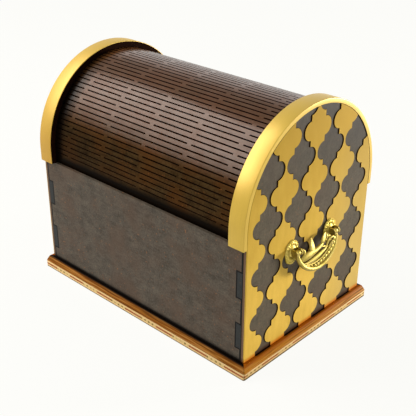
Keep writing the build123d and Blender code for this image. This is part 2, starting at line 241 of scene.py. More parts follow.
# on the front and back: burnt lines round the tabs' slots and the box's corners, and painted shade at the
# foot
def jointLinesAndFootShade(finish):
    line = fingers["line"]
    out = abs(finish.x)
    rows = [finish.z.within(low - line, high + line, 0.1) for low, high in fingers["heights"]]
    beside = out.ramp(endLow[0] - line - 0.15, endLow[0] - line)
    edge = out.ramp(endHigh[0] - 1.5, endHigh[0] - 1.2)
    return (beside * rows[0].most(rows[1])).most(edge).most(footShadeLine(finish))


# on the ends: the outer skin is burnt all round the tabs' own faces
def tabLines(finish):
    line = fingers["line"]
    out = abs(finish.x)
    rows = [finish.z.within(low + line, high - line, 0.15) for low, high in fingers["heights"]]
    beside = out.within(endLow[0] + line, endHigh[0] - line, 0.2)
    skin = abs(finish.y).ramp(faceHigh[1] - 2.0, faceHigh[1] - 1.0)
    return (1.0 - beside * rows[0].most(rows[1])) * skin


# painted shade: a dark line where the walls stand on the base board, which fades upwards as a square
def footShadeLine(finish):
    rise = 1.0 - finish.z.ramp(baseHigh[2] + 1.0, baseHigh[2] + 4.2)
    return rise * rise


# painted shade and painted red light from the base board: the ends darken and redden towards the board they
# stand on
def footShade(finish):
    return 1.0 - finish.z.ramp(baseHigh[2] - 0.1, baseHigh[2] + 3.4)


# painted shade that deepens up under the arch and towards the back
def archShade(finish):
    return finish.z.ramp(92.0, 160.0) * (0.38 + 0.42 * finish.y.ramp(-30.0, 50.0))


# bare edge of the face layer at the box's corners is browner than its front
def faceEdge(finish):
    side = abs(finish.y).ramp(faceHigh[1] - 0.25, faceHigh[1] - 0.1)
    front = abs(finish.x).ramp(faceHigh[0] - 0.2, faceHigh[0] - 0.1)
    return side * (1.0 - front)


dullBand = (66.0, 78.0, 9.0)  # angles between which the lid is duller, and how soft their ends are


# angle round the lid's axis in degrees: 0 at the front, 90 at the top, 180 at the back
def lidAngle(finish):
    return (finish.z - axisZ).angle(finish.y * -1.0)


# painted shade beside the left hoop, low on the lid's left half, and above the front and back panels
def lidShade(finish):
    turn = lidAngle(finish)
    hoop = (1.0 - finish.x.ramp(-82.0, -72.0)) * (1.0 - turn.ramp(45.0, 80.0))
    left = (1.0 - finish.x.ramp(-80.0, 0.0)) * (1.0 - turn.ramp(15.0, 24.0))
    panels = 1.0 - finish.z.ramp(frontHigh[2] + 4.5, frontHigh[2] + 10.5)
    return hoop.most(left * 0.5).most(panels) * 0.96


# polish is worn on to the lid's crown, thinner in a band before the top and at the left, most at the top,
# and it fades towards the two long edges
def lidPolish(finish):
    turn = lidAngle(finish)
    crown = 0.385 * turn.ramp(22.0, 38.0) * (1.0 - turn.ramp(135.0, 155.0)) * (1.0 - 0.7 * lidShade(finish))
    thin = turn.within(33.0, 43.0, 5.0) * (1.0 - finish.x.ramp(10.0, 60.0))
    dimmer = turn.within(*dullBand)
    top = turn.within(88.0, 112.0, 10.0)
    return crown * (1.95 - 0.35 * thin - 0.75 * dimmer + 0.95 * top)


# the crown is painted a warmer brown in streaks, as a painted warm sheen and rubbed stain
def lidWearAndSheen(finish):
    turn = lidAngle(finish)
    rubbed = turn.ramp(18.0, 40.0) * (1.0 - turn.ramp(140.0, 162.0)) * (1.0 - 0.45 * turn.within(*dullBand))
    streaks = finish.noise((40, 1.3, 1.3), 3.0, 0.6, (1, 6, 2))
    return rubbed * (0.25 + streaks * 0.9) * (1.0 - lidShade(finish))


# the foot colour is painted shade with red light from the base board, and the dimmer colour, laid on with
# height, is painted shade
goldLook = {"deep": (0.63, 0.39, 0.045), "pale": (0.85, 0.57, 0.102), "sideTint": (0.53, 0.395, 0.135),
            "foot": (0.66, 0.17, 0.001), "dimmer": (0.28, 0.165, 0.002), "shadeHeights": (40.0, 165.0),
            "shadeShare": 0.85, "streak": (3, 5, 16), "rough": 0.5, "metallic": 0.25, "shine": 0.08}
# the hoops' side tint is painted shade and warm reflection on the left hoop
hoopLook = dict(goldLook, deep=(0.58, 0.36, 0.012), pale=(0.8, 0.53, 0.045), sideTint=(0.58, 0.265, 0.008),
                dimmer=(0.62, 0.4, 0.014), streak=(1.2, 24, 24), rough=0.36, metallic=0.3, shine=1.0)


# the ends' paint is paler and greyer towards the back, below the arch
def fretPaling(finish):
    return finish.y.ramp(5.0, 45.0) * (1.0 - finish.z.ramp(125.0, 150.0)) * 0.6


# painted shade and warm reflection: one hoop is redder and darker than the other, most of all near its feet
def hoopShade(finish):
    return (1.0 - finish.x.ramp(-10.0, 10.0)) * (0.85 - 0.35 * finish.z.ramp(112.0, 132.0))


# gold paint: brush streaks along one direction over a soft drift of tone, darker with height as painted shade
def goldPaint(name, look, sideTint):
    finish = Finish(name)
    streaks = finish.noise(look["streak"], 4.0, 0.6)
    drift = finish.noise(28, 2.0)
    specks = finish.noise(0.9, 2.0)
    tone = (streaks * 0.4 + drift * 0.4 + specks * 0.2).ramp(0.3, 0.7)
    sideShare = sideTint(finish)
    # painted shade: the red, dark foot and the dimmer colour towards the top
    coats = [(sideShare, look["sideTint"]), (footShade(finish), look["foot"]),
             (finish.z.ramp(*look["shadeHeights"]) * look["shadeShare"], look["dimmer"])]
    colour = finish.layered(finish.mix(tone, look["deep"], look["pale"]), coats)
    finish.wire(Base_Color=colour, Metallic=look["metallic"], Specular_IOR_Level=look["shine"])
    finish.wire(Roughness=look["rough"] + (streaks - 0.5) * 0.2 + (specks - 0.5) * 0.1 + sideShare * 0.16)
    return finish.wire(Normal=finish.bump(streaks * 0.6 + specks * 0.4, 0.15, 0.15))


brassLook = {"deep": (0.33, 0.245, 0.03), "pale": (0.52, 0.415, 0.125), "patinaShade": (0.13, 0.075, 0.003)}
plateLook = dict(brassLook, deep=(0.5, 0.37, 0.045), pale=(0.8, 0.64, 0.17))


# cast brass: worn bright metal, with tarnish in patches, patina in its recesses and painted shade where a
# piece marks it
def castBrass(name, look):
    finish = Finish(name)
    soft = finish.noise(4, 3.0)
    fine = finish.noise(0.9, 3.0)
    recess = finish.add("ShaderNodeAttribute", {"attribute_name": "recess"}, {}, "Fac")
    colour = finish.mix((soft * 0.6 + fine * 0.4).ramp(0.36, 0.64), look["deep"], look["pale"])
    patinaShadeShare = (recess * (0.6 + fine * 0.7)).most(soft.ramp(0.56, 0.7) * 0.45).ramp(0.0, 1.0)
    colour = finish.mix(patinaShadeShare, colour, look["patinaShade"])
    finish.wire(Base_Color=colour, Metallic=1.0, Roughness=0.48 + patinaShadeShare * 0.1 + (fine - 0.5) * 0.2)
    return finish.wire(Normal=finish.bump(fine, 0.3, 0.15))


# ground steel: fine lines along the pin
def groundSteel(name):
    finish = Finish(name)
    lines = finish.noise((6, 0.2, 0.2), 2.0)
    colour = finish.mix(lines, (0.42, 0.42, 0.43), (0.62, 0.62, 0.63))
    return finish.wire(Base_Color=colour, Metallic=1.0, Roughness=0.3 + (lines - 0.5) * 0.2)


# one material in a frame node's only slot
def paint(material, *names):
    for name in names:
        slots = frame["nodes"][name].data.materials
        slots.clear()
        slots.append(material)


# the same pieces at the right and left ends
def bothEnds(*names):
    return [side + name for side in sides for name in names]


panelWood = stainedBoard("panelWood", panelLook, jointLinesAndFootShade)
tabWood = stainedBoard("tabWood", tabLook, tabLines)
faceWood = stainedBoard("faceWood", faceLook, archShade, edge=faceEdge, foot=footShade)
lidWood = stainedBoard("lidWood", lidLook, lidShade, lidPolish, lidWearAndSheen)
innerWood = stainedBoard("innerWood", innerLook)
charredWood = stainedBoard("charredWood", charLook)
outlineWood = stainedBoard("outlineWood", outlineLook)
beech = stainedBoard("beech", beechLook)
goldVeneer = goldPaint("goldVeneer", goldLook, fretPaling)
goldHoop = goldPaint("goldHoop", hoopLook, hoopShade)
brass = castBrass("brass", brassLook)
plateBrass = castBrass("plateBrass", plateLook)
steel = groundSteel("steel")

paint(panelWood, "front_panel", "back_panel")
paint(tabWood, *bothEnds("end_panel"))
paint(faceWood, *bothEnds("face_panel"))
paint(innerWood, "lid_lead_rail", "lid_tail_rail", "tray_floor", "tray_front", "tray_back",
      *bothEnds("hub_disc", "track_cradle"))
paint(beech, "closed_stop_dowels", "open_stop_dowels")
paint(steel, *bothEnds("lock_pin"))
paint(brass, *bothEnds("handle_posts", "hinge_pins"))
print("finishes on the frame's pieces")


# four-cornered faces between neighbouring rows and columns of a grid of points
def gridQuads(rows, columns, closeRows=False, closeColumns=True):
    row = np.arange(rows if closeRows else rows - 1)[:, None]
    column = np.arange(columns if closeColumns else columns - 1)[None, :]
    nextRow, nextColumn = (row + 1) % rows, (column + 1) % columns
    corners = [row * columns + column, row * columns + nextColumn,
               nextRow * columns + nextColumn, nextRow * columns + column]
    return np.stack(corners, axis=-1).reshape(-1, 4)


# a grid of rings as a closed shell, whose first and last rings are also the faces of its ends
def tubeShell(points, **extra):
    rows, columns = points.shape[:2]
    caps = np.array([[0], [(rows - 1) * columns]]) + np.arange(columns)
    return dict(extra, points=points, quads=gridQuads(rows, columns), caps=caps)


# one mesh from several closed shells in millimetres: points, four-cornered faces and end caps,
# with the material's number for each face and the depth of tarnish and painted shade at each point
def addPiece(name, shells, body, materials, replacing=(), sharp=35.0):
    points = [shell["points"].reshape(-1, 3) for shell in shells]
    starts = np.cumsum([0] + [len(spots) for spots in points])
    quads = [shell["quads"] + start for shell, start in zip(shells, starts)]
    caps = [cap + start for shell, start in zip(shells, starts) for cap in shell.get("caps", ())]
    marks = [np.broadcast_to(shell.get("marks", 0), len(shell["quads"])) for shell in shells]
    capMarks = [[shell.get("capMark", 0)] * len(shell.get("caps", ())) for shell in shells]
    recess = [np.broadcast_to(shell.get("recess", 0.0), len(spots)) for shell, spots in zip(shells, points)]
    faces = np.concatenate(quads).tolist() + [cap.tolist() for cap in caps]
    mesh = bpy.data.meshes.new(name)
    mesh.from_pydata((np.concatenate(points) * mm).tolist(), [], faces)
    mesh.polygons.foreach_set("material_index", np.concatenate(marks + capMarks).astype(np.int32))
    mesh.polygons.foreach_set("use_smooth", np.ones(len(faces), bool))
    for material in materials:
        mesh.materials.append(material)
    hollow = mesh.attributes.new("recess", "FLOAT", "POINT")
    hollow.data.foreach_set("value", np.concatenate(recess).astype(np.float32))
    turned = bmesh.new()
    turned.from_mesh(mesh)
    bmesh.ops.recalc_face_normals(turned, faces=turned.faces)
    turned.to_mesh(mesh)
    turned.free()
    mesh.set_sharp_from_angle(angle=radians(sharp))
    piece = bpy.data.objects.new(name, mesh)
    bpy.context.scene.collection.objects.link(piece)
    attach(piece, body)
    if replacing:
        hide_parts(*replacing)
    return piece


# a narrow flat along every edge that turns by more than the limit
def addBevel(piece, width):
    bevel = piece.modifiers.new("bevel", "BEVEL")
    bevel.width = width * mm
    bevel.segments = 1
    bevel.limit_method = "ANGLE"
    bevel.angle_limit = radians(40.0)


# a shell with its points multiplied by signs along X, Y and Z
def flipped(shell, signs):
    return dict(shell, points=shell["points"] * signs)


# lattice lid: cells between lines along X and lines round the circle, some of them cut out as slits
lidPlan = {"radius": 63.2, "thickness": 3.0, "halfLength": 92.2, "halfAngle": 102.0, "rowAngle": 3.37,
           "rowsEachSide": 27, "slitWidth": 0.76, "bridgePitch": 73.4, "bridgeWidth": 3.9,
           "bridgesEachSide": 2, "shift": 1.6, "marginLines": 6, "bevel": 0.14}


# angles of the lines along X: both edges of each slit, two in the strip of wood between slits, and a few
# in the plain margins
def latticeTurns(plan, centres, half):
    strips = centres[:-1, None] + half + (plan["rowAngle"] - 2 * half) * np.array([[1 / 3, 2 / 3]])
    margin = np.linspace(90.0 - plan["halfAngle"], centres[0] - half, plan["marginLines"] + 1)[:-1]
    return np.sort(np.concatenate([margin, centres - half, centres + half, strips.ravel(), 180.0 - margin]))


# a cell is wood where its middle is outside every slit or on a bridge, and bridges step half a pitch
# from row to row
def latticeCells(plan, centres, half, turns, across):
    pitch = plan["bridgePitch"]
    middles = (across[:-1] + across[1:]) / 2
    turnMiddles = (turns[:-1] + turns[1:]) / 2
    nearest = np.abs(turnMiddles[:, None] - centres[None, :]).argmin(axis=1)
    inSlit = np.abs(turnMiddles - centres[nearest]) < half
    shift = plan["shift"] + (nearest % 2) * pitch / 2
    offset = (middles[None, :] - shift[:, None] + pitch / 2) % pitch
    onBridge = np.abs(offset - pitch / 2) < plan["bridgeWidth"] / 2
    return ~inSlit[:, None] | onBridge


# two skins on circles about the lid's axis, joined by walls wherever wood meets an opening
def latticeLid(plan):
    centres = 90.0 + np.arange(-plan["rowsEachSide"], plan["rowsEachSide"] + 1) * plan["rowAngle"]
    half = np.degrees(plan["slitWidth"] / 2 / plan["radius"])
    turns = latticeTurns(plan, centres, half)
    bridges = np.arange(-plan["bridgesEachSide"], plan["bridgesEachSide"] + 1) * plan["bridgePitch"] / 2
    bridges = plan["shift"] + bridges
    halfBridge, halfLength = plan["bridgeWidth"] / 2, plan["halfLength"]
    across = np.sort(np.concatenate([bridges - halfBridge, bridges + halfBridge, [halfLength, -halfLength]]))
    solid = latticeCells(plan, centres, half, turns, across)
    radii = np.array([plan["radius"], plan["radius"] - plan["thickness"]])[:, None, None]
    turn = np.radians(turns)[None, :, None]
    shape = (2, len(turns), len(across))
    x = np.broadcast_to(across[None, None, :], shape)
    y = np.broadcast_to(-radii * np.cos(turn), shape)
    z = np.broadcast_to(axisZ + radii * np.sin(turn), shape)
    number = np.arange(x.size).reshape(shape)
    cells = [number[:, :-1, :-1], number[:, :-1, 1:], number[:, 1:, 1:], number[:, 1:, :-1]]
    skins = np.stack(cells, axis=-1)[:, solid].reshape(-1, 4)
    outer, inner = number
    padded = np.pad(solid, 1)
    sideWalls = np.stack([outer[:-1], outer[1:], inner[1:], inner[:-1]], axis=-1)
    rowWalls = np.stack([outer[:, :-1], outer[:, 1:], inner[:, 1:], inner[:, :-1]], axis=-1)
    walls = np.concatenate([sideWalls[padded[1:-1, 1:] != padded[1:-1, :-1]],
                            rowWalls[padded[1:, 1:-1] != padded[:-1, 1:-1]]])
    marks = np.repeat([0, 1], [len(skins), len(walls)])
    return {"points": np.stack([x, y, z], axis=-1), "quads": np.concatenate([skins, walls]), "marks": marks}


lid = addPiece("latticeLid", [latticeLid(lidPlan)], "lid", [lidWood, charredWood], ["lid_sheet"])
addBevel(lid, lidPlan["bevel"])
print("lattice lid")

# hoop: a stepped profile with rounded outer edges, carried up one leg, round the arch and down the other
hoopPlan = {"outer": 68.0, "end": 65.0, "track": 63.5, "edge": 0.35, "steps": 120}


# points on a quarter circle of a profile
def roundCorner(centre, radius, start, end, count=5):
    turns = np.radians(np.linspace(start, end, count))
    return np.stack([centre[0] + radius * np.cos(turns), centre[1] + radius * np.sin(turns)], axis=-1)


# the profile is X and radius, the path is a half circle about the lid's axis, and each leg drops from its end
def archHoop(plan):
    low, high, step = hoopLow[0], hoopHigh[0], endLow[0]
    edge = plan["edge"]
    outer = plan["outer"] - edge
    rounds = [roundCorner((high - edge, outer), edge, 0, 90), roundCorner((low + edge, outer), edge, 90, 180)]
    seat = [(low, plan["track"]), (step, plan["track"]), (step, plan["end"]), (high, plan["end"])]
    profile = np.concatenate([*rounds, seat])
    turns = np.concatenate([[0.0], np.linspace(0.0, pi, plan["steps"]), [pi]])
    drop = np.zeros(len(turns))
    drop[[0, -1]] = axisZ - hoopLow[2]
    x = np.broadcast_to(profile[None, :, 0], (len(turns), len(profile)))
    y = -np.cos(turns)[:, None] * profile[None, :, 1]
    z = axisZ - drop[:, None] + np.sin(turns)[:, None] * profile[None, :, 1]
    side = np.arange(len(profile))
    scorched = (side >= len(profile) - len(seat) - 1) & (side < len(profile) - 1)  # inner side and seat
    return tubeShell(np.stack([x, y, z], axis=-1), marks=np.tile(scorched, len(turns) - 1))


for side, sign in sides.items():
    hoop = flipped(archHoop(hoopPlan), (sign, 1.0, 1.0))
    addPiece(side + "hoop", [hoop], "box", [goldHoop, charredWood], [side + "arch_hoop"])
print("hoops")

# arabesque fret: columns whose half width swells and shrinks in half-round lobes, cut off by the arch
fretPlan = {"column": 30.5, "columnsEachSide": 2, "row": 33.6, "lobesEachWay": 9, "neck": 2.5, "chords": 14,
            "archLevels": 60, "tipGap": 0.05, "leastWidth": 0.25, "rim": 0.42, "rimShare": 0.3,
            "rimDrop": 0.25}


# half widths at the lobes' heights are joined by straight steps, and the runs that are wide enough
# become strips
def fretColumn(plan, centre):
    quarter = plan["column"] / 4
    lobe = quarter - plan["neck"] / 2
    count = np.arange(-plan["lobesEachWay"], plan["lobesEachWay"] + 1)
    turns = np.linspace(-pi / 2, pi / 2, plan["chords"] + 1)
    heights = axisZ + count[:, None] * plan["row"] / 2 + lobe * np.sin(turns)[None]
    swell = np.where(count % 2, 1.0, -1.0)[:, None] * lobe
    widths = quarter + swell * np.cos(turns)[None]
    arch = np.linspace(axisZ, fretHigh[2] - plan["tipGap"], plan["archLevels"])
    levels = np.concatenate([heights.ravel(), arch, [fretLow[2], axisZ]])
    keep = (levels >= fretLow[2] - 1e-6) & (levels <= fretHigh[2] - 0.04)  # to the arch's last level
    levels = np.unique(levels[keep].round(5))
    half = np.interp(levels, heights.ravel(), widths.ravel())
    limit = np.sqrt(np.maximum(fretHigh[1] ** 2 - np.maximum(levels - axisZ, 0.0) ** 2, 0.0))
    outermost = abs(centre) > (plan["columnsEachSide"] - 0.5) * plan["column"]  # fills up to the end's rim
    plain = (outermost and centre < 0, outermost and centre > 0)
    left = np.clip(-limit if plain[0] else centre - half, -limit, limit)
    right = np.clip(limit if plain[1] else centre + half, -limit, limit)
    shown = right - left > plan["leastWidth"]
    starts = np.flatnonzero(shown & ~np.concatenate([[False], shown[:-1]]))
    ends = np.flatnonzero(shown & ~np.concatenate([shown[1:], [False]])) + 1
    runs = [slice(start, end) for start, end in zip(starts, ends) if end - start > 2]
    return [fretStrip(plan, levels[run], left[run], right[run], plain) for run in runs]


# one run of a column: a back, walls, a sloping rim and the gold front, with the walls and rim burnt unless
# they are at the end's plain edge
def fretStrip(plan, levels, left, right, plain):
    rim = np.minimum(plan["rim"], (right - left) * plan["rimShare"])
    back, brim, front = fretLow[0], fretHigh[0] - plan["rimDrop"], fretHigh[0]
    y = np.stack([left, left, left + rim, right - rim, right, right], axis=1)
    x = np.broadcast_to(np.array([back, brim, front, front, brim, back])[None], y.shape)
    z = np.broadcast_to(levels[:, None], y.shape)
    darkening = [not plain[0], not plain[0], False, not plain[1], not plain[1], True]
    return tubeShell(np.stack([x, y, z], axis=-1), marks=np.tile(darkening, len(levels) - 1), capMark=1)


columns = np.arange(-fretPlan["columnsEachSide"], fretPlan["columnsEachSide"] + 1) * fretPlan["column"]
for side, sign in sides.items():
    strips = [strip for centre in columns for strip in fretColumn(fretPlan, centre)]
    strips = [flipped(strip, (sign, 1.0, 1.0)) for strip in strips]
    woods = [goldVeneer, outlineWood]
    addPiece(side + "fret", strips, "box", woods, [side + "gold_fret"], 25.0)
print("frets")

# the ledge shade colour is painted shade
plyLook = {"cream": (0.98, 0.77, 0.41), "honey": (0.94, 0.62, 0.27), "rust": (0.4, 0.105, 0.03),
           "olive": (0.22, 0.15, 0.03), "straw": (0.78, 0.6, 0.24), "bark": (0.36, 0.17, 0.045),
           "sole": (0.16, 0.1, 0.03), "stain": (0.235, 0.066, 0.006), "tan": (0.36, 0.145, 0.02),
           "amber": (0.58, 0.225, 0.006), "ember": (0.34, 0.085, 0.002), "streak": (0.1, 0.03, 0.004),
           "glint": (0.56, 0.27, 0.07), "ledgeShade": (0.004, 0.002, 0.001)}
# length, height, detail and shift of each pattern along the board's sides
plyGrain = {"fine": (9.0, 0.5, 4.0, 0.0), "broad": (30.0, 0.8, 3.0, 7.0), "lines": (26.0, 0.55, 2.0, 3.0),
            "grain": (40.0, 0.95, 2.0, 11.0), "gaps": (4.0, 9.0, 1.0, 5.0)}
# the inlaid row: its heights, the length of a long dash and the short ones after it, and of one short dash
# and its gap
dashPlan = {"low": 2.45, "high": 3.65, "soft": 0.2, "period": 32.4, "short": 3.9, "shift": 9.7,
            "endShift": 9.0, "endRise": 0.2}
# how far the painted shade on the ledge reaches: from the fret's front, further where dark tiles stand, and
# from the walls
ledgeShadePlan = {"end": (-0.2, 0.5), "wall": (2.15, 3.25), "tiles": (6.5, 8.5), "tileReach": 0.8,
            "heights": (7.9, 8.9)}


# plies across the board's edge by height, with an inlaid row of long red and short olive dashes,
# and a stained, streaky bevel and ledge above them, with painted shade on the ledge beside the walls
def plywood(name, look):
    finish = Finish(name)
    onEnd = (abs(finish.x) - baseHigh[0]).above(abs(finish.y) - baseHigh[1])
    onFront = 1.0 - onEnd
    along = (finish.y + dashPlan["endShift"]) * onEnd + finish.x * onFront
    row = finish.add("ShaderNodeCombineXYZ", {}, {0: along, 1: finish.z, 2: onEnd * 40.0})

    def strip(length, height, detail, shift):
        return finish.noise((length, height, 1), detail, 0.6, (shift, shift, 0), row)

    fine, broad, lines, grain, gaps = [strip(*sizes) for sizes in plyGrain.values()]
    share = ((along + dashPlan["shift"]) / dashPlan["period"]).fraction()
    longDash = 1.0 - share.ramp(0.495, 0.505)
    shortShare = (share * (dashPlan["period"] / dashPlan["short"])).fraction()
    shortDash = shortShare.within(0.2, 0.55, 0.06) * (1.0 - longDash) * gaps.ramp(0.3, 0.5)
    level = finish.z - onEnd * dashPlan["endRise"]
    band = level.within(dashPlan["low"], dashPlan["high"], dashPlan["soft"])
    edge = finish.layered(finish.mix(fine.ramp(0.3, 0.7), look["honey"], look["cream"]), [
        ((0.12 + onEnd * 0.4) * lines.ramp(0.48, 0.6), look["bark"]),
        (band * (1.0 - longDash) * 0.8, look["straw"]),
        (band * longDash * 0.95, look["rust"]),
        (band * shortDash * 0.9, look["olive"]),
        (band * onEnd * 0.25, look["bark"]),
        (1.0 - (finish.z - onEnd * 0.6).ramp(0.6, 1.4), look["sole"])])
    # painted shade on the ledge where the walls stand, reaching further below the dark tiles
    tiles = finish.y.bounce(fretPlan["column"] / 2).ramp(*ledgeShadePlan["tiles"])
    clear = (abs(finish.x) - fretHigh[0] - tiles * ledgeShadePlan["tileReach"]).ramp(*ledgeShadePlan["end"]) * onEnd
    clear = clear + (abs(finish.y) - faceHigh[1]).ramp(*ledgeShadePlan["wall"]) * onFront
    top = finish.layered(finish.mix(broad.ramp(0.35, 0.65), look["stain"], look["tan"]), [
        (finish.z.ramp(8.4, 9.4) * 0.7, look["stain"]),
        (onEnd * 0.6, look["amber"]),
        (grain.ramp(0.52, 0.6) * 0.75, look["streak"]),
        ((1.0 - grain.ramp(0.4, 0.48)) * 0.6, look["glint"]),
        (onEnd * finish.z.ramp(7.4, 8.8) * 0.8, look["ember"]),
        ((1.0 - clear) * finish.z.ramp(*ledgeShadePlan["heights"]), look["ledgeShade"])])
    colour = finish.mix(finish.z.ramp(5.05, 5.45), edge, top)  # the stain starts at the bevel's foot
    finish.wire(Base_Color=colour, Roughness=0.5 + (fine - 0.5) * 0.3, Specular_IOR_Level=0.03)
    return finish.wire(Normal=finish.bump(fine, 0.3, 0.2))


# base board: a bevelled profile carried round a rectangle with small round corners
basePlan = {"corner": 1.6, "bevelFoot": 5.7, "bevelWidth": 2.4, "ledge": 3.0, "ease": 0.35, "footDrop": 0.25,
            "soften": 0.2, "brim": 0.3, "cornerSteps": 7, "leastReach": 0.02}
# signs along X and Y of each corner, and the angle at which its arc starts
baseCorners = [(1, 1, 0), (-1, 1, 90), (-1, -1, 180), (1, -1, 270)]


# the profile is a way out from the edge, below 0 inside it, and a height, and points further in than the
# arc's centre stay on the corner's diagonal
def baseBoard(plan):
    bevel, ease, soften, brim = plan["bevelWidth"], plan["ease"], plan["soften"], plan["brim"]
    foot, top = plan["bevelFoot"], baseHigh[2]
    inside = -bevel - plan["ledge"]
    profile = np.array([(inside, 0.0), (-ease, 0.0), (0.0, ease), (0.0, foot - plan["footDrop"]),
                        (-soften, foot + soften), (-bevel + soften, top - brim), (-bevel - brim, top),
                        (inside, top)])
    turns = np.linspace(0, 90, plan["cornerSteps"])
    reach = np.maximum(plan["corner"] + profile[:, 0], plan["leastReach"])
    inward = np.minimum(plan["corner"] + profile[:, 0], 0.0)
    ring = []
    for signX, signY, start in baseCorners:
        direction = np.radians(turns + start)
        away = np.stack([np.cos(direction), np.sin(direction)], axis=-1)
        signs = np.array([signX, signY])
        core = signs * (baseHigh[:2] - plan["corner"])
        ring.append(core + away[:, None, :] * reach[None, :, None] + inward[None, :, None] * signs)
    spots = np.concatenate(ring)
    z = np.broadcast_to(profile[None, :, 1], spots.shape[:2])
    count, width = z.shape
    caps = np.arange(count) * width + np.array([[0], [width - 1]])
    points = np.concatenate([spots, z[..., None]], axis=-1)
    return {"points": points, "quads": gridQuads(count, width, True, False), "caps": caps}


basePly = plywood("basePly", plyLook)
addPiece("plyBase", [baseBoard(basePlan)], "box", [basePly], ["base_board"], 20.0)
print("base board")


# evenly spaced angles round a whole circle
def circle(count):
    return np.linspace(0, 2 * pi, count, endpoint=False)


# a closed tube along a path, with an oval section given by two radii across two directions
def ovalTube(path, first, second, radiusFirst, radiusSecond, count):
    turns = circle(count)
    ring = (np.cos(turns)[None, :, None] * (first * radiusFirst[:, None])[:, None, :]
            + np.sin(turns)[None, :, None] * (second * radiusSecond[:, None])[:, None, :])
    return tubeShell(path[:, None, :] + ring)


# a closed profile of radius and Y, turned about a line along Y through a point
def turnedAlongY(centre, profile, count=28):
    turns = circle(count)
    x = centre[0] + profile[:, 0][:, None] * np.cos(turns)[None]
    z = centre[2] + profile[:, 0][:, None] * np.sin(turns)[None]
    y = np.broadcast_to(centre[1] + profile[:, 1][:, None], x.shape)
    return {"points": np.stack([x, y, z], axis=-1), "quads": gridQuads(len(profile), count, True)}


# rings of latitude on a ball stretched along three directions
def stretchedBall(centre, axes, rings=8, count=12):
    lift = np.linspace(-pi / 2, pi / 2, rings + 2)[1:-1]
    turns = circle(count)
    flat = np.cos(lift)[:, None]
    unit = np.stack([flat * np.cos(turns)[None], flat * np.sin(turns)[None],
                     np.broadcast_to(np.sin(lift)[:, None], (rings, count))], axis=-1)
    return tubeShell(np.asarray(centre) + unit @ np.asarray(axes))


